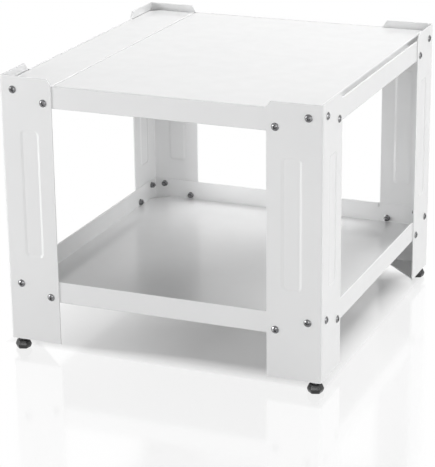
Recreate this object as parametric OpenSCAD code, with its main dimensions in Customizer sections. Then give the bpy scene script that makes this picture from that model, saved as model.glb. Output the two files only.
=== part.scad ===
// Washing machine stand: four folded sheet-steel legs, two identical sheet-steel trays,
// lift-out deck panels that fill the upper tray to its rim, and four levelling feet.
// Millimetres, +Z up, front at -Y. The origin is on the floor, midway between the feet.

/* [Overall] */
// Width over the legs
stand_w = 600; // [540:5:700]
// Depth over the legs
stand_d = 645; // [560:5:760]
// Height of the deck above the floor with the feet screwed in
deck_h = 505; // [420:5:620]

/* [Legs] */
// Width of each of a leg's two flanges
leg_flange = 100; // [96:1:120]
// Thickness of the leg sheet
leg_sheet = 2; // [1.5:0.1:2.5]
// Outside radius of the leg's corner bend
leg_bend_r = 3.5; // [3:0.1:6]
// Rise of the leg tops above the deck
leg_rise = 13; // [8:1:24]
// Width of the chamfer at each flange's free top corner
leg_chamfer_w = 7.5; // [3:0.5:12]
// Height of the chamfer at each flange's free top corner
leg_chamfer_h = 11.5; // [3:0.5:14]
// Distance from the foot plate's slanted edge to the flanges' free edges
foot_plate_short = 3; // [1:0.5:8]

/* [Pressed leg panels] */
// Width of the pressed panel in each flange
press_w = 37; // [30:1:44]
// Distance of its centre line from the leg's corner
press_x = 54.5; // [50:0.5:60]
// Distance of its ends from the two trays
press_end_gap = 42; // [25:1:60]
// Depth of the pressing
press_depth = 1.3; // [0.6:0.1:1.4]
// Width of the pressing's sloping side
press_slope = 4.5; // [2:0.5:7]
// Corner radius of the pressing at the surface
press_r = 9; // [7.5:0.5:14]

/* [Trays] */
// Height of the shelf tray's rim above the floor
shelf_rim_h = 143; // [110:1:200]
// Height of a tray's walls
tray_wall = 40; // [36:1:50]
// Thickness of the tray sheet
tray_sheet = 1.2; // [0.8:0.1:1.5]
// Outside radius of the bend between floor and wall
tray_bend_r = 2.5; // [2:0.1:2.6]
// Length cut off the floor at each corner
tray_corner_cut = 36; // [20:1:38]
// Distance that a wall stops short of the corner at the rim
tray_rim_short = 6.5; // [2:0.5:8]
// Thickness of the hem folded along a rim
hem_t = 3.2; // [2.6:0.1:4]
// Height of the hem
hem_h = 9; // [6:0.5:12]
// Distance from a hem's end to the leg beside it
hem_end_gap = 3; // [1:0.5:8]

/* [Deck panels] */
// Thickness of the deck sheet
deck_sheet = 1.2; // [0.8:0.1:2]
// Outside radius of the deck panels' bends
deck_bend_r = 3; // [2.2:0.1:3.4]
// Width of the seam between the two deck panels
seam_gap = 1.2; // [0.4:0.1:2]
// Gap between the deck panels and the hems
panel_gap = 0.5; // [0.3:0.1:1.5]
// Gap between the main panel and the right-hand hem, which the edge strip bridges
right_gap = 12.5; // [11:0.5:20]
// Depth of the edge strip's ledge below the deck
ledge_drop = 9; // [4:0.5:12]
// Height of the edge strip's upright flange
ledge_h = 15; // [10:1:20]
// Outside radius of the edge strip's bend
ledge_bend_r = 2.5; // [2.1:0.1:3]
// Length cut off the side panel's outer corners
panel_corner_cut = 22; // [10:1:30]
// Distance from a wall that the panels' flanges keep free for the nuts
nut_bay = 16; // [14:1:24]
// Distance between the deck's stiffening ribs
rib_pitch = 170; // [120:5:200]
// Thickness of the rib sheet
rib_sheet = 1.5; // [1:0.1:2]
// Width of a rib's crown
rib_crown_w = 34; // [20:1:50]
// Width of each of a rib's two feet
rib_foot_w = 16; // [10:1:24]
// Gap between a rib's ends and the panel's bends
rib_end_gap = 0.4; // [0.2:0.1:1]

/* [Screws and nuts] */
// Distance of the corner screws from the leg's corner
screw_near = 25; // [22:0.5:28]
// Distance of the inner screws from the leg's corner
screw_far = 84; // [80:0.5:87]
// Depth of the corner screws below the tray's rim
screw_high = 11; // [10.5:0.5:14]
// Height of the inner screws above the tray's underside
screw_low = 9; // [9:0.5:14]
// Shank diameter
screw_d = 6; // [5:0.5:6]
// Shank length
screw_l = 12; // [11:0.5:13]
// Head diameter
head_d = 14; // [11:0.5:14]
// Head height
head_h = 3.4; // [2.6:0.1:4.5]
// Thickness of the head's rim
head_rim = 0.7; // [0.4:0.1:1]
// Length of the cross recess's arms, tip to tip
recess_l = 7; // [5:0.5:8]
// Width of the cross recess's arms
recess_w = 1.5; // [1:0.1:2]
// Depth of the cross recess
recess_depth = 1.8; // [1:0.1:2.2]
// Diameter of the clearance holes
screw_hole_d = 6.6; // [6.4:0.1:7]
// Nut width across flats
nut_af = 10; // [8:0.5:10]
// Nut height over its flange
nut_h = 6; // [4:0.5:7]
// Diameter of the nut's flange
nut_flange_d = 12.8; // [11:0.1:12.8]
// Thickness of the nut's flange
nut_flange_t = 1.2; // [0.8:0.1:2]
// Clearance between a shank and its nut, on the radius
thread_clear = 0.05; // [0.02:0.01:0.09]

/* [Levelling feet] */
// Height of the legs' lower ends above the floor, feet screwed in
foot_h = 23; // [22:0.5:28]
// Distance of the foot's axis from the leg's two outer faces
foot_inset = 15; // [14:0.5:20]
// Width of the foot's hexagonal base across flats, at its widest
base_af = 26; // [24:0.5:30]
// Width of the base across flats, at its underside
base_low_af = 23.5; // [22:0.5:26]
// Width of the base across flats, at its top
base_top_af = 20; // [16:0.5:26]
// Height of the base's widening lower part
base_low_h = 4; // [1:0.5:5]
// Height of the base's straight band
base_band_h = 2; // [1:0.5:3]
// Angle that the bases are turned by, feet screwed in
base_turn = 19; // [0:1:60]
// Diameter of the stud
stud_d = 8; // [6:1:8]
// Height of the stud's top above the floor, foot screwed in
stud_top = 53; // [50:1:60]
// Height of the stud's embedded end above the base's underside
stud_embed = 3.5; // [3:0.5:5]
// Chamfer at the stud's ends
stud_chamfer = 0.8; // [0.3:0.1:1]
// Width of the foot's two nuts across flats
foot_nut_af = 13; // [13:0.5:15]
// Height of the nut welded on the foot plate
weld_nut_h = 6.5; // [5:0.5:8]
// Height of the lock nut under the foot plate
lock_nut_h = 6.5; // [4:0.5:6.5]
// Diameter of the hole in the foot plate
stud_hole_d = 8.6; // [8.4:0.1:9]
// Diameter of the glide under the base
glide_d = 21; // [16:0.5:22]
// Thickness of the glide
glide_t = 1.7; // [1.5:0.1:2.5]
// Chamfer at the glide's lower edge
glide_chamfer = 0.6; // [0.4:0.1:1]
// Diameter of the glide's spigot
spigot_d = 7; // [4:0.5:9]
// Height of the glide's spigot
spigot_h = 2; // [1:0.5:2]
// Clearance between spigot and base, on the radius
spigot_clear = 0.08; // [0.03:0.01:0.1]
// Gap between faces that move past each other
move_gap = 0.3; // [0.2:0.05:0.5]

/* [Hidden] */
$fn = 48;
CUT = 1;
ROOT2 = sqrt(2);
hx = stand_w / 2;
hy = stand_d / 2;
leg_top = deck_h + leg_rise;
leg_h = leg_top - foot_h;
tray_w = stand_w - 2 * leg_sheet;
tray_d = stand_d - 2 * leg_sheet;
top_tray_z = deck_h - tray_wall;
shelf_tray_z = shelf_rim_h - tray_wall;
panel_h = tray_wall - tray_sheet;
panel_d = tray_d - 2 * (hem_t + panel_gap);
main_x0 = leg_flange - hx + seam_gap / 2;
main_x1 = tray_w / 2 - hem_t - right_gap;
side_x0 = hem_t + panel_gap - tray_w / 2;
side_x1 = leg_flange - hx - seam_gap / 2;
plate_top = foot_h + leg_sheet;
base_z = glide_t + move_gap;
base_top = foot_h - lock_nut_h - move_gap;

// Name of each corner, and the side of the X and Y axes that it lies on
CORNERS = [
    ["front_left", -1, -1],
    ["front_right", 1, -1],
    ["rear_left", -1, 1],
    ["rear_right", 1, 1]
];
RIBS = [["front", -1], ["middle", 0], ["rear", 1]];
CORNER_KINDS = [
    "leg", "top_screws", "top_nuts", "shelf_screws", "shelf_nuts",
    "weld_nut", "lock_nut", "foot_stud", "foot_base", "foot_glide"
];

STEEL_WHITE = [0.93, 0.93, 0.93];
ZINC = [0.72, 0.73, 0.75];
BLACK = [0.10, 0.10, 0.11];

// Puts a piece drawn for the front left corner, with that corner at the origin, at a corner
module at_corner(corner) {
    mirror([corner[1] > 0 ? 1 : 0, 0, 0])
        mirror([0, corner[2] > 0 ? 1 : 0, 0])
            translate([-hx, -hy, 0])
                children();
}

// Repeats a piece drawn on the front flange on the side flange
module on_both_flanges() {
    children();
    mirror([1, -1, 0]) children();
}

// Puts a piece on the front flange's outer face, with its own +Z pointing outwards
module on_flange(x, z) {
    translate([x, 0, z]) rotate([90, 0, 0]) children();
}

// Puts a piece at each screw that joins one leg to the tray with the given rim height
module at_screws(rim_z) {
    on_both_flanges() {
        on_flange(screw_near, rim_z - screw_high) children();
        on_flange(screw_far, rim_z - tray_wall + screw_low) children();
    }
}

// Square with its corner at the origin rounded
module round_corner_square(size, r) {
    translate([r, 0]) square([size - r, size]);
    translate([0, r]) square([size, size - r]);
    translate([r, r]) circle(r);
}

module leg_profile() {
    difference() {
        round_corner_square(leg_flange, leg_bend_r);
        translate([leg_sheet, leg_sheet]) round_corner_square(leg_flange, leg_bend_r - leg_sheet);
    }
}

// Pressed panel with sloping sides: press_depth deep below z = 0, and raised above it by lift
module pressing(lift, grow = 0) {
    w = press_w + 2 * grow;
    l = top_tray_z - shelf_rim_h - 2 * press_end_gap + 2 * grow;
    r = press_r + grow;
    run = press_slope * lift / press_depth;
    for (sx = [-1, 1])
        for (sy = [-1, 1])
            translate([sx * (w / 2 - r), sy * (l / 2 - r), -press_depth])
                cylinder(h = press_depth + lift, r1 = r - press_slope, r2 = r + run);
    pressing_bar(w, l - 2 * r, run, lift);
    rotate(90) pressing_bar(l, w - 2 * r, run, lift);
}

// Bar of the pressing's sloping section, w wide at z = 0
module pressing_bar(w, length, run, lift) {
    rotate([90, 0, 0])
        linear_extrude(length, center = true)
            polygon([
                [press_slope - w / 2, -press_depth], [w / 2 - press_slope, -press_depth],
                [w / 2 + run, lift], [-w / 2 - run, lift]
            ]);
}

// Corner cut of a flange's free top corner
module top_chamfer() {
    on_flange(leg_flange, leg_top)
        translate([0, 0, -leg_sheet - CUT])
            linear_extrude(leg_sheet + 2 * CUT)
                polygon([
                    [-leg_chamfer_w, 0], [-leg_chamfer_w, CUT], [CUT, CUT],
                    [CUT, -leg_chamfer_h], [0, -leg_chamfer_h]
                ]);
}

module leg() {
    press_z = (top_tray_z + shelf_rim_h) / 2;
    plate = leg_flange - foot_plate_short;
    color(STEEL_WHITE)
        difference() {
            union() {
                translate([0, 0, foot_h]) linear_extrude(leg_h) leg_profile();
                translate([0, 0, foot_h])
                    linear_extrude(leg_sheet)
                        polygon([
                            [leg_sheet / 2, leg_bend_r], [leg_bend_r, leg_sheet / 2],
                            [plate, leg_sheet / 2], [plate, leg_sheet],
                            [leg_sheet, plate], [leg_sheet / 2, plate]
                        ]);
                on_both_flanges()
                    on_flange(press_x, press_z) translate([0, 0, -leg_sheet]) pressing(leg_sheet / 4);
            }
            on_both_flanges() {
                on_flange(press_x, press_z) pressing(CUT);
                top_chamfer();
            }
            at_screws(deck_h) screw_hole();
            at_screws(shelf_rim_h) screw_hole();
            translate([foot_inset, foot_inset, foot_h - CUT])
                cylinder(h = leg_sheet + 2 * CUT, d = stud_hole_d);
        }
}

module screw_hole() {
    reach = leg_sheet + tray_sheet;
    translate([0, 0, -reach - CUT]) cylinder(h = reach + 2 * CUT, d = screw_hole_d);
}

// Upright rectangle whose two lower corners are rounded
module round_bottom(w, h, r) {
    translate([-w / 2, r]) square([w, h - r]);
    translate([r - w / 2, 0]) square([w - 2 * r, h]);
    for (side = [-1, 1])
        translate([side * (w / 2 - r), r]) circle(r);
}

module pan_block(w, d, h, r) {
    intersection() {
        rotate([90, 0, 0]) linear_extrude(d, center = true) round_bottom(w, h, r);
        rotate([90, 0, 90]) linear_extrude(w, center = true) round_bottom(d, h, r);
    }
}

// Folded pan with its floor's underside at z = 0 and its walls up
module pan(w, d, h, t, r) {
    difference() {
        pan_block(w, d, h, r);
        translate([0, 0, t]) pan_block(w - 2 * t, d - 2 * t, h, r - t);
    }
}

// Slanted cut across a tray's corner, from tray_corner_cut at the floor to tray_rim_short at the rim
module tray_corner() {
    run = (tray_corner_cut - tray_rim_short) / tray_wall;
    translate([leg_sheet, leg_sheet, 0])
        rotate([90, 0, 45])
            linear_extrude(3 * tray_corner_cut, center = true)
                polygon([
                    [-CUT, -CUT],
                    [(tray_corner_cut + run * CUT) / ROOT2, -CUT],
                    [(tray_rim_short - run * CUT) / ROOT2, tray_wall + CUT],
                    [-CUT, tray_wall + CUT]
                ]);
}

// Section of a hem, its outer face on x = 0 and its rounded top at y = 0
module hem_profile() {
    translate([0, -hem_h]) square([hem_t, hem_h - hem_t / 2]);
    translate([hem_t / 2, -hem_t / 2]) circle(hem_t / 2);
}

// Runs a shape drawn for the left wall's rim along all four rims of a tray, between the legs
module along_rims() {
    for (side = [-1, 1]) {
        mirror([side > 0 ? 1 : 0, 0, 0])
            translate([-tray_w / 2, 0, tray_wall])
                rotate([90, 0, 0])
                    linear_extrude(stand_d - 2 * (leg_flange + hem_end_gap), center = true)
                        children();
        mirror([0, side > 0 ? 1 : 0, 0])
            translate([0, -tray_d / 2, tray_wall])
                rotate([90, 0, 90])
                    linear_extrude(stand_w - 2 * (leg_flange + hem_end_gap), center = true)
                        children();
    }
}

module tray(floor_z) {
    color(STEEL_WHITE)
        difference() {
            translate([0, 0, floor_z]) {
                difference() {
                    pan(tray_w, tray_d, tray_wall, tray_sheet, tray_bend_r);
                    for (corner = CORNERS)
                        at_corner(corner) tray_corner();
                    along_rims() translate([-CUT, -hem_h]) square([hem_t + CUT, hem_h + CUT]);
                }
                along_rims() hem_profile();
            }
            for (corner = CORNERS)
                at_corner(corner) at_screws(floor_z + tray_wall) screw_hole();
        }
}

// Inverted pan between two places on X, standing on the upper tray's floor
module deck_pan(x0, x1) {
    translate([(x0 + x1) / 2, 0, deck_h])
        mirror([0, 0, 1])
            pan(x1 - x0, panel_d, panel_h, deck_sheet, deck_bend_r);
}

// Clears a deck panel's flanges from x0 to x1, up to the given distance from the front or rear wall
module flange_notch(x0, x1, reach) {
    for (side = [-1, 1])
        translate([x0, side > 0 ? hy - leg_sheet - reach : leg_sheet - hy, deck_h - panel_h - CUT])
            cube([x1 - x0, reach, panel_h - deck_bend_r + CUT]);
}

module main_deck_panel() {
    color(STEEL_WHITE)
        difference() {
            deck_pan(main_x0, main_x1);
            flange_notch(hx - leg_flange, main_x1 + CUT, nut_bay);
        }
}

module side_deck_panel() {
    inner = side_x1 - deck_bend_r;
    color(STEEL_WHITE)
        difference() {
            deck_pan(side_x0, side_x1);
            flange_notch(side_x0 - CUT, inner, nut_bay);
            flange_notch(side_x0 - CUT, side_x0 + deck_bend_r, leg_flange);
            for (side = [-1, 1])
                translate([side_x0, side * panel_d / 2, deck_h])
                    rotate(45)
                        cube([panel_corner_cut * ROOT2, panel_corner_cut * ROOT2, 3 * panel_h], center = true);
        }
}

// Section of an angle strip, its bend at the origin, one flange to +X and one down
module angle_profile(w, h, t, r) {
    difference() {
        union() {
            translate([r, -r]) square([w - r, r]);
            translate([0, -h]) square([w, h - r]);
            translate([r, -r]) circle(r);
        }
        translate([r, -r]) square([w - r + CUT, r - t]);
        translate([t, -h - CUT]) square([w - t + CUT, h - r + CUT]);
        translate([r, -r]) circle(r - t);
    }
}

// Angle strip on the main panel's right flange, its ledge reaching to the hem between the legs
module deck_edge_strip() {
    color(STEEL_WHITE)
        translate([main_x1, 0, deck_h - ledge_drop])
            rotate([90, 0, 0])
                linear_extrude(stand_d - 2 * (leg_flange + hem_end_gap), center = true)
                    angle_profile(right_gap - panel_gap, ledge_h, deck_sheet, ledge_bend_r);
}

// Hat-section rib that carries the main panel on the tray's floor
module deck_rib(place) {
    side = rib_crown_w / 2;
    foot = side + rib_foot_w;
    rib_h = panel_h - deck_sheet;
    end = deck_bend_r + rib_end_gap;
    color(STEEL_WHITE)
        translate([main_x0 + end, place * rib_pitch, top_tray_z + tray_sheet])
            rotate([90, 0, 90])
                linear_extrude(main_x1 - main_x0 - 2 * end)
                    polygon([
                        [-foot, 0], [rib_sheet - side, 0], [rib_sheet - side, rib_h - rib_sheet],
                        [side - rib_sheet, rib_h - rib_sheet], [side - rib_sheet, 0], [foot, 0],
                        [foot, rib_sheet], [side, rib_sheet], [side, rib_h],
                        [-side, rib_h], [-side, rib_sheet], [-foot, rib_sheet]
                    ]);
}

// Truss-head screw with a cross recess, its head's underside on z = 0
module screw() {
    rise = head_h - head_rim;
    dome_r = (head_d * head_d / 4 + rise * rise) / (2 * rise);
    color(ZINC)
        difference() {
            union() {
                translate([0, 0, -screw_l]) cylinder(h = screw_l + head_rim, d = screw_d);
                cylinder(h = head_rim, d = head_d);
                intersection() {
                    translate([0, 0, head_h - dome_r]) sphere(dome_r);
                    translate([0, 0, head_rim]) cylinder(h = head_h, d = head_d);
                }
            }
            for (turn = [45, 135])
                rotate(turn)
                    translate([-recess_l / 2, -recess_w / 2, head_h - recess_depth])
                        cube([recess_l, recess_w, recess_depth + CUT]);
        }
}

// Flanged nut, its flange on z = 0 and its body below
module flange_nut() {
    color(ZINC)
        difference() {
            union() {
                translate([0, 0, -nut_h]) cylinder(h = nut_h, d = nut_af * 2 / sqrt(3), $fn = 6);
                translate([0, 0, -nut_flange_t]) cylinder(h = nut_flange_t, d = nut_flange_d);
            }
            translate([0, 0, -nut_h - CUT])
                cylinder(h = nut_h + 2 * CUT, r = screw_d / 2 + thread_clear);
        }
}

module tray_screws(corner, rim_z) {
    at_corner(corner) at_screws(rim_z) screw();
}

module tray_nuts(corner, rim_z) {
    at_corner(corner) at_screws(rim_z) translate([0, 0, -leg_sheet - tray_sheet]) flange_nut();
}

// Puts a piece on the axis of a corner's foot
module at_foot(corner) {
    translate([corner[1] * (hx - foot_inset), corner[2] * (hy - foot_inset), 0]) children();
}

module foot_nut(z, h) {
    color(ZINC)
        translate([0, 0, z])
            difference() {
                cylinder(h = h, d = foot_nut_af * 2 / sqrt(3), $fn = 6);
                translate([0, 0, -CUT]) cylinder(h = h + 2 * CUT, r = stud_d / 2 + thread_clear);
            }
}

module foot_stud() {
    low = base_z + stud_embed;
    color(ZINC)
        translate([0, 0, low])
            rotate_extrude()
                polygon([
                    [0, 0], [stud_d / 2 - stud_chamfer, 0], [stud_d / 2, stud_chamfer],
                    [stud_d / 2, stud_top - low - stud_chamfer],
                    [stud_d / 2 - stud_chamfer, stud_top - low], [0, stud_top - low]
                ]);
}

// Frustum of a hexagonal pyramid, its widths across flats given at its lower and upper ends
module hexagon_taper(z0, z1, af0, af1) {
    translate([0, 0, z0])
        cylinder(h = z1 - z0, d1 = af0 * 2 / sqrt(3), d2 = af1 * 2 / sqrt(3), $fn = 6);
}

// Hexagonal base that is turned by hand or spanner, widest a little above the floor
module foot_base() {
    wide_z = base_z + base_low_h;
    color(BLACK)
        difference() {
            rotate(base_turn) {
                hexagon_taper(base_z, wide_z, base_low_af, base_af);
                hexagon_taper(wide_z, wide_z + base_band_h, base_af, base_af);
                hexagon_taper(wide_z + base_band_h, base_top, base_af, base_top_af);
            }
            translate([0, 0, base_z + stud_embed])
                cylinder(h = base_top, r = stud_d / 2 + thread_clear / 2);
            translate([0, 0, base_z - CUT])
                cylinder(h = spigot_h + CUT, r = spigot_d / 2 + spigot_clear);
        }
}

// Sole that stays still on the floor while the base turns on it
module foot_glide() {
    color(BLACK)
        rotate_extrude()
            polygon([
                [0, 0], [glide_d / 2 - glide_chamfer, 0], [glide_d / 2, glide_chamfer],
                [glide_d / 2, glide_t], [spigot_d / 2, glide_t],
                [spigot_d / 2, glide_t + spigot_h], [0, glide_t + spigot_h]
            ]);
}

tray(top_tray_z);  // top_tray
tray(shelf_tray_z);  // shelf_tray
main_deck_panel();
side_deck_panel();
deck_edge_strip();
for (rib = RIBS)
    deck_rib(rib[1]);
for (c = CORNERS) {
    at_corner(c) leg();
    tray_screws(c, deck_h);
    tray_nuts(c, deck_h);
    tray_screws(c, shelf_rim_h);
    tray_nuts(c, shelf_rim_h);
    at_foot(c) foot_nut(plate_top, weld_nut_h);
    at_foot(c) foot_nut(foot_h - lock_nut_h, lock_nut_h);
    at_foot(c) foot_stud();
    at_foot(c) foot_base();
    at_foot(c) foot_glide();
}
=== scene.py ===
import math

import bmesh
import bpy
from mathutils import Matrix, Vector


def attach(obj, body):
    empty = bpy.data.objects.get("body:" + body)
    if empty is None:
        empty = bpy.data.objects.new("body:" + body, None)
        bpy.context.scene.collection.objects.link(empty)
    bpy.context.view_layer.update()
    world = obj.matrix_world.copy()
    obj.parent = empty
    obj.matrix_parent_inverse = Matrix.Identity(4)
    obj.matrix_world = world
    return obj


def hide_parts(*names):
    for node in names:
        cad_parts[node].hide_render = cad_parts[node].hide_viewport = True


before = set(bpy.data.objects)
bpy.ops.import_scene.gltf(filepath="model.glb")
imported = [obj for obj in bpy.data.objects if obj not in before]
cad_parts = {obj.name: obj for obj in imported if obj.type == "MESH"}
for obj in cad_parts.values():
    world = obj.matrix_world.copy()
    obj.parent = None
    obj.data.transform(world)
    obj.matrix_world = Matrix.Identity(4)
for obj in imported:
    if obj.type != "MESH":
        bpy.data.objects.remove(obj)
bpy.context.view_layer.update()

MM = 0.001
UP = Vector((0, 0, 1))

# The stand: the leg corners' place and what the sheets measure
HALF_WIDTH = 300 * MM
HALF_DEPTH = 322.5 * MM
RIM_HEIGHTS = {"top": 505 * MM, "shelf": 143 * MM}
WALL_HEIGHT = 40 * MM
LEG_AND_TRAY_SHEET = 3.2 * MM
CORNERS = {
    "front_left": (-1, -1),
    "front_right": (1, -1),
    "rear_left": (-1, 1),
    "rear_right": (1, 1),
}

# A thread's outline over one pitch, from root (0) to crest (1), and up the pitch
THREAD_OUTLINE = [(0, 1), (0, 0.86), (1, 0.5), (1, 0.36), (0, 0)]
THREAD_STEPS = 20
THREAD_CREST = 0.995
# Smallest play between a thread and its nut
THREAD_PLAY = {"screw": 0.03 * MM, "stud": 0.04 * MM}

# Screws and flange nuts
SCREW_NEAR = 25 * MM
SCREW_FAR = 84 * MM
NEAR_BELOW_RIM = 11 * MM
FAR_ABOVE_UNDERSIDE = 9 * MM
HEAD_RADIUS = 7 * MM
HEAD_HEIGHT = 3.4 * MM
HEAD_RIM = 0.7 * MM
HEAD_LIP = 0.2 * MM
DOME_INSET = 0.15 * MM
HEAD_STEPS = 40
DOME_STEPS = 10
SHANK_RADIUS = 3 * MM
SHANK_LENGTH = 12 * MM
SHANK_CORE = 0.84
SHANK_TIP = 0.66
SHANK_CHAMFER = 0.8 * MM
SHANK_THREAD_ROOT = 0.83
SHANK_THREAD_LOW = 0.5 * MM
SCREW_PITCH = 1 * MM
RECESS_LENGTH = 8.2 * MM
RECESS_WIDTH = 2.7 * MM
RECESS_DEPTH = 3.1 * MM
RECESS_ABOVE = 0.6 * MM
# The recess's wings, as shares of its length and width: above the head and at its bottom
RECESS_MOUTH = (1.15, 1.1)
RECESS_BOTTOM = (0.5, 0.75)
# How far round the first screw was tightened, in degrees, and how the next one follows from it
FIRST_TIGHTENED = 31
NEXT_TIGHTENED = (7, 13)
NUT_FLATS = 10 * MM
NUT_HEIGHT = 6 * MM
NUT_FLANGE_RADIUS = 6.4 * MM
NUT_FLANGE_THICK = 1.2 * MM
NUT_FLANGE_EDGE = 0.6 * MM
NUT_FLANGE_SLOPE = 0.25 * MM
NUT_MOUTH = 0.5 * MM
# The cone that cuts a nut's corners back: its reach past them, its start inside the flats, its slope
NUT_CORNER_OUT = 0.1 * MM
NUT_FACE_IN = 0.15 * MM
NUT_CHAMFER = 0.55

# Levelling feet
FOOT_INSET = 15 * MM
PLATE_UNDERSIDE = 23 * MM
PLATE_THICK = 2 * MM
FOOT_NUT_FLATS = 13 * MM
FOOT_NUT_HEIGHT = 6.5 * MM
STUD_RADIUS = 4 * MM
STUD_PITCH = 1.25 * MM
STUD_LOW = 5.5 * MM
STUD_TOP = 53 * MM
STUD_CHAMFER = 0.9 * MM
STUD_CORE = 0.86
STUD_THREAD_ROOT = 0.85
STUD_THREAD_START = 0.3 * MM
STUD_THREAD_END = 1 * MM
WELD_INSIDE = 0.6 * MM
WELD_OUTSIDE = 1.4 * MM
WELD_RIPPLES = 28
WELD_RIPPLE = 0.02
BASE_TURN = 19
BASE_ROUNDING = 0.7 * MM
# Height above the floor and width across flats of the foot's hexagonal base
BASE_LEVELS = [(0.6, 22.6), (6.0, 26.0), (8.0, 26.0), (16.2, 20.0)]
# Steps across the base's top towards the stud: how far in and how far up
BASE_TOP_STEPS = [(1.62, 0), (0.45, -0.9), (2.25, 0), (0.45, 0.7)]
SKIRT_THICK = 0.3 * MM
SKIRT_SLANT = 0.1 * MM
GLIDE_ROOM = 1.5 * MM
GLIDE_RADIUS = 9.8 * MM
GLIDE_THICK = 1.7 * MM

# Camera, from the photograph's perspective
CAMERA_PLACE = Vector((1.25595, -3.0762, 1.30845))
CAMERA_AIM = Vector((-0.0085, -0.036, 0.16657))
CAMERA_ROLL = -0.669
CAMERA_LENS = 142.1

# Pieces are shaded smooth where their faces meet at less than this angle, in degrees
SMOOTH_ANGLE = 32
# The sheet parts, which keep their own meshes
SHEET_PARTS = (
    "leg", "top_tray", "shelf_tray", "main_deck", "side_deck", "deck_edge", "deck_rib",
)

# World, floor and studio lights
WORLD_LIGHT = 0.12
FLOOR_REACH = 30
FLOOR_COLOUR = 0.65
FLOOR_ROUGHNESS = 0.14
# Light that the floor near the stand adds for the rays that show it
FLOOR_LIFT = 0.14
# Where the floor turns white: axis, and the places where that starts and ends
FLOOR_WHITE = [
    ("X", 0.24, 0.30),
    ("X", 0.02, -0.45),
    ("X", -0.27, -0.33),
    ("Y", -0.24, -0.30),
    ("Y", 0.26, 0.36),
]
# How much of the white floor is a reflection, and how blurred that is
FLOOR_SHINE = 0.15
SHINE_ROUGHNESS = 0.12
LIGHT_AIM = (0, 0, 0.3)
# Name, place, size and power
LIGHTS = [
    ("top_light", (0.6, 0.8, 3.4), (2.5, 2.5), 44),
    ("top_rear_light", (0.9, 1.9, 2.9), (2.6, 2.0), 62),
    ("left_light", (-3.2, -2.4, 0.9), (2.0, 1.4), 91),
    ("front_light", (0.9, -4.0, 1.1), (2.6, 1.0), 24),
    ("right_front_light", (3.3, -1.9, 0.9), (1.6, 1.4), 13),
    ("right_light", (3.6, -0.5, 0.9), (2.0, 1.6), 36),
]


# Materials


class Finish:
    """A material's node tree, with a Principled shader that reads Object coordinates."""

    def __init__(self, name):
        self.material = bpy.data.materials.new(name)
        self.material.use_nodes = True
        self.tree = self.material.node_tree
        self.shader = self.tree.nodes["Principled BSDF"]
        self.place = self.tree.nodes.new("ShaderNodeTexCoord").outputs["Object"]

    def link(self, source, target):
        self.tree.links.new(source, target)

    def noise(self, scale, detail=2.0, roughness=0.5):
        node = self.tree.nodes.new("ShaderNodeTexNoise")
        node.inputs["Scale"].default_value = scale
        node.inputs["Detail"].default_value = detail
        node.inputs["Roughness"].default_value = roughness
        self.link(self.place, node.inputs["Vector"])
        return node.outputs["Fac"]

    def between(self, value, low, high, start=0.3, end=0.7):
        """Maps a value from the range start to end to the range low to high."""
        node = self.tree.nodes.new("ShaderNodeMapRange")
        node.inputs["From Min"].default_value = start
        node.inputs["From Max"].default_value = end
        node.inputs["To Min"].default_value = low
        node.inputs["To Max"].default_value = high
        self.link(value, node.inputs["Value"])
        return node.outputs["Result"]

    def math(self, operation, *values):
        """Joins two values by a Math node; a plain number is set on its socket."""
        node = self.tree.nodes.new("ShaderNodeMath")
        node.operation = operation
        for socket, value in zip(node.inputs, values):
            if isinstance(value, (int, float)):
                socket.default_value = value
            else:
                self.link(value, socket)
        return node.outputs[0]

    def mixed(self, share, first, second):
        """Mixes two shaders by a number or a value."""
        node = self.tree.nodes.new("ShaderNodeMixShader")
        if isinstance(share, (int, float)):
            node.inputs["Fac"].default_value = share
        else:
            self.link(share, node.inputs["Fac"])
        self.link(first, node.inputs[1])
        self.link(second, node.inputs[2])
        return node.outputs["Shader"]

    def blend_colours(self, value, low, high):
        node = self.tree.nodes.new("ShaderNodeMix")
        node.data_type = "RGBA"
        node.inputs["A"].default_value = (*low, 1)
        node.inputs["B"].default_value = (*high, 1)
        self.link(value, node.inputs["Factor"])
        self.link(node.outputs["Result"], self.shader.inputs["Base Color"])

    def bump(self, heights):
        """Chains bumps from (height value, strength, distance) rows into the shader's normal."""
        before = None
        for height, strength, distance in heights:
            node = self.tree.nodes.new("ShaderNodeBump")
            node.inputs["Strength"].default_value = strength
            node.inputs["Distance"].default_value = distance
            self.link(height, node.inputs["Height"])
            if before:
                self.link(before, node.inputs["Normal"])
            before = node.outputs["Normal"]
        self.link(before, self.shader.inputs["Normal"])

    def set(self, **values):
        for key, value in values.items():
            self.shader.inputs[key.replace("_", " ")].default_value = value


def powder_coat():
    """Glossy white powder coat: fine orange peel over very slightly wavy sheet."""
    finish = Finish("white_powder_coat")
    tone = finish.between(finish.noise(6, 3), 0, 1)
    finish.blend_colours(tone, (0.815, 0.817, 0.82), (0.835, 0.837, 0.838))
    gloss = finish.between(finish.noise(30, 3), 0.20, 0.27)
    finish.link(gloss, finish.shader.inputs["Roughness"])
    finish.set(IOR=1.5, Coat_Weight=0.5, Coat_Roughness=0.07)
    finish.bump([
        (finish.noise(5, 1), 1.0, 0.12 * MM),
        (finish.noise(330, 2), 1.0, 0.005 * MM),
    ])
    return finish.material


def zinc_plate():
    """Cloudy zinc plating over rolled and pressed steel, dark beside the powder coat: its colour is painted
    dark, a painted dark reflection of dim surroundings in the metal.
    """
    finish = Finish("zinc_plate")
    tone = finish.between(finish.noise(260, 4), 0, 1)
    # Base colour far darker than bare zinc: painted shade standing for dark surroundings mirrored in the
    # metal
    finish.blend_colours(tone, (0.12, 0.12, 0.125), (0.27, 0.27, 0.275))
    gloss = finish.between(finish.noise(520, 3), 0.06, 0.14)
    finish.link(gloss, finish.shader.inputs["Roughness"])
    finish.set(Metallic=1.0)
    finish.bump([(finish.noise(1400, 3), 0.25, 0.03 * MM)])
    return finish.material


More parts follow.
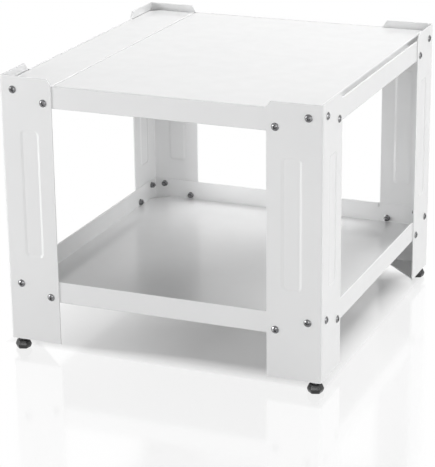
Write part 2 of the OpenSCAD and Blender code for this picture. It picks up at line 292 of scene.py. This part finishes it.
def black_plastic():
    """Moulded black plastic with a fine eroded texture."""
    finish = Finish("moulded_black_plastic")
    tone = finish.between(finish.noise(90, 3), 0, 1)
    finish.blend_colours(tone, (0.011, 0.011, 0.012), (0.019, 0.019, 0.020))
    gloss = finish.between(finish.noise(300, 3), 0.15, 0.25)
    finish.link(gloss, finish.shader.inputs["Roughness"])
    finish.set(IOR=1.5)
    finish.bump([(finish.noise(1900, 2), 0.30, 0.02 * MM)])
    return finish.material


def black_rubber():
    """Dull black rubber with dusty patches."""
    finish = Finish("black_rubber")
    tone = finish.between(finish.noise(160, 4), 0, 1)
    finish.blend_colours(tone, (0.018, 0.018, 0.018), (0.045, 0.044, 0.042))
    gloss = finish.between(finish.noise(220, 3), 0.62, 0.82)
    finish.link(gloss, finish.shader.inputs["Roughness"])
    finish.bump([(finish.noise(1100, 3), 0.4, 0.08 * MM)])
    return finish.material


POWDER = powder_coat()
DARKENED_ZINC = zinc_plate()
PLASTIC = black_plastic()
RUBBER = black_rubber()


# Mesh helpers


def mesh_from(bm, name):
    mesh = bpy.data.meshes.new(name)
    bm.to_mesh(mesh)
    bm.free()
    return mesh


def tidy_shell(bm):
    """Merges a turned or joined shape's doubles and points its faces outwards."""
    bmesh.ops.remove_doubles(bm, verts=bm.verts, dist=1e-7)
    bmesh.ops.recalc_face_normals(bm, faces=bm.faces)


def turned(profile, steps):
    """Solid of revolution about Z from a profile of (radius, height) points, both ends on the axis."""
    bm = bmesh.new()
    points = [bm.verts.new((radius, 0, height)) for radius, height in profile]
    edges = [bm.edges.new(pair) for pair in zip(points, points[1:])]
    bmesh.ops.spin(
        bm, geom=points + edges, cent=(0, 0, 0), axis=UP, angle=2 * math.pi, steps=steps, use_merge=True
    )
    tidy_shell(bm)
    return bm


def thread(bm, root, crest, pitch, low, turns):
    """Adds a helical thread round Z, from the height low upwards, closed at both ends."""
    radii = (root, crest)
    points = [bm.verts.new((radii[out], 0, low + share * pitch)) for out, share in THREAD_OUTLINE]
    edges = [bm.edges.new(pair) for pair in zip(points, points[1:])]
    before = set(bm.faces)
    bmesh.ops.spin(
        bm,
        geom=points + edges,
        cent=(0, 0, 0),
        axis=UP,
        dvec=UP * pitch / THREAD_STEPS,
        angle=2 * math.pi * turns,
        steps=THREAD_STEPS * turns,
    )
    made = [face for face in bm.faces if face not in before]
    verts = list({vert for face in made for vert in face.verts})
    bmesh.ops.remove_doubles(bm, verts=verts, dist=pitch * 1e-3)
    open_edges = [edge for edge in bm.edges if edge.is_boundary]
    bmesh.ops.holes_fill(bm, edges=open_edges, sides=0)


def prism(flats, low, high):
    """Hexagonal prism about Z, its corners on the X axis."""
    bm = bmesh.new()
    bmesh.ops.create_cone(
        bm,
        cap_ends=True,
        segments=6,
        radius1=flats / math.sqrt(3),
        radius2=flats / math.sqrt(3),
        depth=high - low,
        matrix=Matrix.Translation((0, 0, (low + high) / 2)) @ Matrix.Rotation(math.pi / 2, 4, "Z"),
    )
    return bm


def combined(base, other, operation):
    """One mesh from two by an exact boolean."""
    holders = []
    for mesh in (base, other):
        holder = bpy.data.objects.new("holder", mesh)
        bpy.context.scene.collection.objects.link(holder)
        holders.append(holder)
    cut = holders[0].modifiers.new("cut", "BOOLEAN")
    cut.operation = operation
    cut.solver = "EXACT"
    cut.object = holders[1]
    graph = bpy.context.evaluated_depsgraph_get()
    mesh = bpy.data.meshes.new_from_object(holders[0].evaluated_get(graph))
    for holder in holders:
        bpy.data.objects.remove(holder)
    return mesh


def add_copy(bm, template, matrix):
    """Adds a template mesh to a bmesh, put in place by a matrix."""
    start = len(bm.verts)
    bm.from_mesh(template)
    bm.verts.ensure_lookup_table()
    bmesh.ops.transform(bm, matrix=matrix, verts=bm.verts[start:])


def place_piece(mesh, name, material, body, slot, *nodes):
    """Makes the finished piece: smooth shading, its finish, its body and the nodes it stands for."""
    mesh.materials.clear()
    mesh.materials.append(material)
    mesh.shade_smooth()
    mesh.set_sharp_from_angle(angle=math.radians(SMOOTH_ANGLE))
    piece = bpy.data.objects.new(name, mesh)
    bpy.context.scene.collection.objects.link(piece)
    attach(piece, body)
    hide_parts(*nodes)


# Screws and flange nuts


def screw_template():
    """Truss-head screw, its head's underside on z = 0: domed head, cross recess and threaded shank."""
    rise = HEAD_HEIGHT - HEAD_RIM
    edge = HEAD_RADIUS - DOME_INSET
    dome_radius = (edge**2 + rise**2) / (2 * rise)
    dome_turn = math.asin(edge / dome_radius)
    profile = [(0, HEAD_HEIGHT)]
    for step in range(1, DOME_STEPS + 1):
        turn = dome_turn * step / DOME_STEPS
        profile.append((
            dome_radius * math.sin(turn),
            HEAD_HEIGHT - dome_radius * (1 - math.cos(turn)),
        ))
    profile += [
        (HEAD_RADIUS, HEAD_RIM - HEAD_LIP),
        (HEAD_RADIUS, HEAD_LIP),
        (HEAD_RADIUS - HEAD_LIP, 0),
        (SHANK_RADIUS * SHANK_CORE, 0),
        (SHANK_RADIUS * SHANK_CORE, SHANK_CHAMFER - SHANK_LENGTH),
        (SHANK_RADIUS * SHANK_TIP, -SHANK_LENGTH),
        (0, -SHANK_LENGTH),
    ]
    head = mesh_from(turned(profile, HEAD_STEPS), "screw_head")
    for turn in (0, 90):
        wing = bmesh.new()
        bmesh.ops.create_cube(wing, size=1)
        for vert in wing.verts:
            at_top = vert.co.z > 0
            share_long, share_wide = RECESS_MOUTH if at_top else RECESS_BOTTOM
            vert.co.x *= RECESS_LENGTH * share_long
            vert.co.y *= RECESS_WIDTH * share_wide
            vert.co.z = HEAD_HEIGHT + (RECESS_ABOVE if at_top else -RECESS_DEPTH)
        around = Matrix.Rotation(math.radians(turn), 3, "Z")
        bmesh.ops.rotate(wing, verts=wing.verts, cent=(0, 0, 0), matrix=around)
        head = combined(head, mesh_from(wing, "recess_wing"), "DIFFERENCE")
    bm = bmesh.new()
    bm.from_mesh(head)
    turns = int((SHANK_LENGTH - 2 * SHANK_CHAMFER) / SCREW_PITCH)
    low = SHANK_THREAD_LOW - SHANK_LENGTH
    root, crest = SHANK_RADIUS * SHANK_THREAD_ROOT, SHANK_RADIUS * THREAD_CREST
    thread(bm, root, crest, SCREW_PITCH, low, turns)
    return mesh_from(bm, "screw")


def nut_mesh(flats, low, high, bore, chamfer_low, chamfer_high):
    """Hexagonal nut whose corners are cut back by a cone at one or both ends."""
    corner = flats / math.sqrt(3) + NUT_CORNER_OUT
    flat = flats / 2 - NUT_FACE_IN
    drop = NUT_CHAMFER * (corner - flat)
    outline = [(0, high)]
    outline += [(flat, high), (corner, high - drop)] if chamfer_high else [(corner, high)]
    outline += [(corner, low + drop), (flat, low)] if chamfer_low else [(corner, low)]
    outline.append((0, low))
    body = combined(
        mesh_from(prism(flats, low, high), "nut_body"),
        mesh_from(turned(outline, 48), "nut_outline"),
        "INTERSECT",
    )
    wide = bore + 2 * NUT_MOUTH
    hole = [
        (0, high + NUT_MOUTH), (wide, high + NUT_MOUTH), (bore, high - NUT_MOUTH),
        (bore, low + NUT_MOUTH), (wide, low - NUT_MOUTH), (0, low - NUT_MOUTH),
    ]
    return combined(body, mesh_from(turned(hole, 32), "nut_hole"), "DIFFERENCE")


def flange_nut_template():
    """Flange nut against the tray's inner face, in the same frame as its screw."""
    seat = -LEG_AND_TRAY_SHEET
    hexagon = nut_mesh(NUT_FLATS, seat - NUT_HEIGHT, seat, SHANK_RADIUS + THREAD_PLAY["screw"], True, False)
    inner = SHANK_RADIUS + 0.3 * MM
    back = seat - NUT_FLANGE_THICK - NUT_FLANGE_SLOPE
    flange = turned(
        [
            (inner, seat), (NUT_FLANGE_RADIUS, seat),
            (NUT_FLANGE_RADIUS, seat - NUT_FLANGE_EDGE),
            (NUT_FLATS / 2 - 0.4 * MM, back),
            (inner, back), (inner, seat),
        ],
        40,
    )
    return combined(hexagon, mesh_from(flange, "nut_flange"), "UNION")


def wall_spots(corner, rim):
    """Places of a corner's four screws on one tray: point on the leg's outer face, and the way out."""
    side_x, side_y = corner
    near_z = rim - NEAR_BELOW_RIM
    far_z = rim - WALL_HEIGHT + FAR_ABOVE_UNDERSIDE
    spots = []
    for along, height in ((SCREW_NEAR, near_z), (SCREW_FAR, far_z)):
        spots.append((
            Vector((side_x * (HALF_WIDTH - along), side_y * HALF_DEPTH, height)),
            Vector((0, side_y, 0)),
        ))
        spots.append((
            Vector((side_x * HALF_WIDTH, side_y * (HALF_DEPTH - along), height)),
            Vector((side_x, 0, 0)),
        ))
    return spots


def facing(point, outward):
    """Matrix that puts a piece on a wall, its own Z pointing outwards and its Y up."""
    across = UP.cross(outward)
    matrix = Matrix((across, UP, outward)).transposed().to_4x4()
    matrix.translation = point
    return matrix


screw = screw_template()
flange_nut = flange_nut_template()
tightened = FIRST_TIGHTENED
for level, rim in RIM_HEIGHTS.items():
    for name, corner in CORNERS.items():
        screws, nuts = bmesh.new(), bmesh.new()
        for point, outward in wall_spots(corner, rim):
            tightened = (tightened * NEXT_TIGHTENED[0] + NEXT_TIGHTENED[1]) % 360
            spin = Matrix.Rotation(math.radians(tightened), 4, "Z")
            add_copy(screws, screw, facing(point, outward) @ spin)
            add_copy(nuts, flange_nut, facing(point, outward))
        place_piece(
            mesh_from(screws, "screws"), f"{level}_screws_{name}_detailed", DARKENED_ZINC, "stand", "zinc_steel",
            f"{level}_screws_{name}",
        )
        place_piece(
            mesh_from(nuts, "nuts"), f"{level}_nuts_{name}_detailed", DARKENED_ZINC, "stand", "zinc_steel",
            f"{level}_nuts_{name}",
        )


# Levelling feet


def foot_axis(corner):
    side_x, side_y = corner
    return Vector((side_x * (HALF_WIDTH - FOOT_INSET), side_y * (HALF_DEPTH - FOOT_INSET), 0))


def moved_copy(template, point):
    bm = bmesh.new()
    add_copy(bm, template, Matrix.Translation(point))
    return mesh_from(bm, template.name)


def stud_template():
    """Threaded stud with a chamfered top."""
    core = STUD_RADIUS * STUD_CORE
    bm = turned(
        [
            (0, STUD_LOW), (core, STUD_LOW), (core, STUD_TOP - STUD_CHAMFER),
            (core - STUD_CHAMFER, STUD_TOP), (0, STUD_TOP),
        ],
        24,
    )
    low = STUD_LOW + STUD_THREAD_START
    turns = int((STUD_TOP - low - STUD_THREAD_END) / STUD_PITCH) - 1
    root, crest = STUD_RADIUS * STUD_THREAD_ROOT, STUD_RADIUS * THREAD_CREST
    thread(bm, root, crest, STUD_PITCH, low, turns)
    return mesh_from(bm, "stud")


def base_template():
    """Moulded hexagonal base: rounded edges, a skirt round the glide and a collar round the stud."""
    bm = bmesh.new()
    first_height, first_flats = BASE_LEVELS[0]
    start = bmesh.ops.create_circle(
        bm,
        cap_ends=True,
        segments=6,
        radius=first_flats * MM / math.sqrt(3),
        matrix=Matrix.Translation((0, 0, first_height * MM))
        @ Matrix.Rotation(math.radians(BASE_TURN) + math.pi / 2, 4, "Z"),
    )
    face = start["verts"][0].link_faces[0]
    left_behind = []
    for (below, flats_below), (height, flats) in zip(BASE_LEVELS, BASE_LEVELS[1:]):
        left_behind.append(face)
        grown = bmesh.ops.extrude_face_region(bm, geom=[face])
        face = next(item for item in grown["geom"] if isinstance(item, bmesh.types.BMFace))
        bmesh.ops.translate(bm, verts=face.verts, vec=UP * (height - below) * MM)
        share = flats / flats_below
        bmesh.ops.scale(bm, verts=face.verts, vec=(share, share, 1))
    bmesh.ops.delete(bm, geom=left_behind[1:], context="FACES_ONLY")
    bmesh.ops.recalc_face_normals(bm, faces=bm.faces)
    bmesh.ops.bevel(
        bm,
        geom=list(bm.edges),
        offset=BASE_ROUNDING,
        segments=3,
        profile=0.5,
        affect="EDGES",
        material=-1,
    )
    underside = min(bm.faces, key=lambda item: item.calc_center_median().z)
    for thickness, rise in ((SKIRT_THICK, 0), (SKIRT_SLANT, GLIDE_ROOM)):
        bmesh.ops.inset_region(bm, faces=[underside], thickness=thickness)
        bmesh.ops.translate(bm, verts=underside.verts, vec=UP * rise)
    top = max(bm.faces, key=lambda item: item.calc_center_median().z)
    for inwards, rise in BASE_TOP_STEPS:
        bmesh.ops.inset_region(bm, faces=[top], thickness=inwards * MM)
        bmesh.ops.translate(bm, verts=top.verts, vec=UP * rise * MM)
    return mesh_from(bm, "foot_base")


def glide_template():
    """Rubber sole with rounded edges and a shallow ring round its underside."""
    radius, thick = GLIDE_RADIUS, GLIDE_THICK
    return mesh_from(
        turned(
            [
                (0, 0.5 * MM), (radius * 0.35, 0.5 * MM), (radius * 0.4, 0.05 * MM),
                (radius * 0.9, 0), (radius - 0.4 * MM, 0.15 * MM), (radius, 0.6 * MM),
                (radius, thick - 0.3 * MM), (radius - 0.3 * MM, thick),
                (3.5 * MM, thick), (3.4 * MM, thick + 2 * MM), (0, thick + 2 * MM),
            ],
            48,
        ),
        "foot_glide",
    )


def weld_nut_template(low):
    """Weld nut with a bead of weld round its foot."""
    bore = STUD_RADIUS + THREAD_PLAY["stud"]
    nut = nut_mesh(FOOT_NUT_FLATS, low, low + FOOT_NUT_HEIGHT, bore, False, True)
    inner = FOOT_NUT_FLATS / 2 - WELD_INSIDE
    outer = FOOT_NUT_FLATS / 2 + WELD_OUTSIDE
    middle = (inner + outer) / 2
    bead = turned(
        [
            (inner, low - 0.02 * MM), (outer, low - 0.02 * MM), (outer - 0.2 * MM, low + 0.6 * MM),
            (middle, low + 1.2 * MM), (inner, low + 1.7 * MM), (inner, low - 0.02 * MM),
        ],
        56,
    )
    for vert in bead.verts:
        turn = math.atan2(vert.co.y, vert.co.x)
        ripple = 1 + WELD_RIPPLE * math.sin(turn * WELD_RIPPLES)
        vert.co.x *= ripple
        vert.co.y *= ripple
    return combined(nut, mesh_from(bead, "weld_bead"), "UNION")


stud = stud_template()
base = base_template()
glide = glide_template()
weld_nut = weld_nut_template(PLATE_UNDERSIDE + PLATE_THICK)
lock_nut = nut_mesh(
    FOOT_NUT_FLATS,
    PLATE_UNDERSIDE - FOOT_NUT_HEIGHT,
    PLATE_UNDERSIDE,
    STUD_RADIUS + THREAD_PLAY["stud"],
    True,
    True,
)
FOOT_PIECES = [
    ("foot_stud", stud, DARKENED_ZINC, "foot_", "zinc_steel"),
    ("foot_base", base, PLASTIC, "foot_", "black_plastic"),
    ("foot_glide", glide, RUBBER, "glide_", "black_rubber"),
    ("weld_nut", weld_nut, DARKENED_ZINC, "", "zinc_steel"),
    ("lock_nut", lock_nut, DARKENED_ZINC, "", "zinc_steel"),
]
for name, corner in CORNERS.items():
    for kind, template, material, prefix, slot in FOOT_PIECES:
        body = prefix + name if prefix else "stand"
        mesh = moved_copy(template, foot_axis(corner))
        place_piece(mesh, f"{kind}_{name}_detailed", material, body, slot, f"{kind}_{name}")


# Sheet parts

for name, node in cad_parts.items():
    if name.startswith(SHEET_PARTS):
        node.data.materials.clear()
        node.data.materials.append(POWDER)


# Floor, light and camera


def shown_rays(tree):
    """1 for camera, glossy and transmission rays, 0 for the rays that light the object."""
    path = tree.nodes.new("ShaderNodeLightPath")
    total = path.outputs["Is Camera Ray"]
    for name in ("Is Glossy Ray", "Is Transmission Ray"):
        larger = tree.nodes.new("ShaderNodeMath")
        larger.operation = "MAXIMUM"
        tree.links.new(total, larger.inputs[0])
        tree.links.new(path.outputs[name], larger.inputs[1])
        total = larger.outputs[0]
    return total


def make_world():
    """White world that lights the stand weakly and shows at full strength."""
    world = bpy.data.worlds.new("studio")
    bpy.context.scene.world = world
    world.use_nodes = True
    tree = world.node_tree
    light = tree.nodes["Background"]
    light.inputs["Color"].default_value = (1, 1, 1, 1)
    light.inputs["Strength"].default_value = WORLD_LIGHT
    white = tree.nodes.new("ShaderNodeBackground")
    white.inputs["Color"].default_value = (1, 1, 1, 1)
    white.inputs["Strength"].default_value = 1
    mix = tree.nodes.new("ShaderNodeMixShader")
    tree.links.new(shown_rays(tree), mix.inputs["Fac"])
    tree.links.new(light.outputs["Background"], mix.inputs[1])
    tree.links.new(white.outputs["Background"], mix.inputs[2])
    tree.links.new(mix.outputs["Shader"], tree.nodes["World Output"].inputs["Surface"])


def glow(finish, strength, amount):
    """White emission whose strength is a number times a value."""
    node = finish.tree.nodes.new("ShaderNodeEmission")
    node.inputs["Color"].default_value = (1, 1, 1, 1)
    finish.link(finish.math("MULTIPLY", strength, amount), node.inputs["Strength"])
    return node.outputs["Emission"]


def make_floor():
    """Pale glossy floor that keeps the stand's shadow and turns white away from it."""
    bm = bmesh.new()
    bmesh.ops.create_grid(bm, x_segments=1, y_segments=1, size=FLOOR_REACH)
    floor = bpy.data.objects.new("floor", mesh_from(bm, "floor"))
    bpy.context.scene.collection.objects.link(floor)
    finish = Finish("pale_floor")
    grey = (FLOOR_COLOUR, FLOOR_COLOUR, FLOOR_COLOUR, 1)
    finish.set(Base_Color=grey, Roughness=FLOOR_ROUGHNESS, IOR=1.4)
    shown = shown_rays(finish.tree)
    axes = finish.tree.nodes.new("ShaderNodeSeparateXYZ")
    finish.link(finish.place, axes.inputs[0])
    white = 0
    for axis, start, end in FLOOR_WHITE:
        white = finish.math("MAXIMUM", white, finish.between(axes.outputs[axis], 0, 1, start, end))
    near = finish.tree.nodes.new("ShaderNodeAddShader")
    finish.link(finish.shader.outputs["BSDF"], near.inputs[0])
    finish.link(glow(finish, FLOOR_LIFT, shown), near.inputs[1])
    mirror = finish.tree.nodes.new("ShaderNodeBsdfGlossy")
    mirror.inputs["Color"].default_value = (1, 1, 1, 1)
    mirror.inputs["Roughness"].default_value = SHINE_ROUGHNESS
    far = finish.mixed(FLOOR_SHINE, glow(finish, 1, shown), mirror.outputs["BSDF"])
    surface = finish.mixed(finish.math("MULTIPLY", white, shown), near.outputs["Shader"], far)
    finish.link(surface, finish.tree.nodes["Material Output"].inputs["Surface"])
    floor.data.materials.append(finish.material)


def soft_box(name, place, size, power):
    """Large studio light that the camera doesn't see."""
    data = bpy.data.lights.new(name, "AREA")
    data.shape = "RECTANGLE"
    data.size, data.size_y = size
    data.energy = power
    box = bpy.data.objects.new(name, data)
    bpy.context.scene.collection.objects.link(box)
    box.location = place
    box.rotation_euler = (Vector(LIGHT_AIM) - Vector(place)).to_track_quat("-Z", "Y").to_euler()
    box.visible_camera = False


def make_camera():
    data = bpy.data.cameras.new("photo_view")
    data.sensor_width = 36
    data.lens = CAMERA_LENS
    data.clip_start, data.clip_end = 0.1, 100
    forward = (CAMERA_AIM - CAMERA_PLACE).normalized()
    right = forward.cross(UP).normalized()
    up = right.cross(forward)
    roll = math.radians(CAMERA_ROLL)
    across = right * math.cos(roll) + up * math.sin(roll)
    upward = up * math.cos(roll) - right * math.sin(roll)
    matrix = Matrix((across, upward, -forward)).transposed().to_4x4()
    matrix.translation = CAMERA_PLACE
    camera = bpy.data.objects.new("photo_view", data)
    bpy.context.scene.collection.objects.link(camera)
    camera.matrix_world = matrix
    bpy.context.scene.camera = camera


bpy.context.scene.view_settings.view_transform = "Standard"
make_world()
make_floor()
for name, place, size, power in LIGHTS:
    soft_box(name, place, size, power)
make_camera()
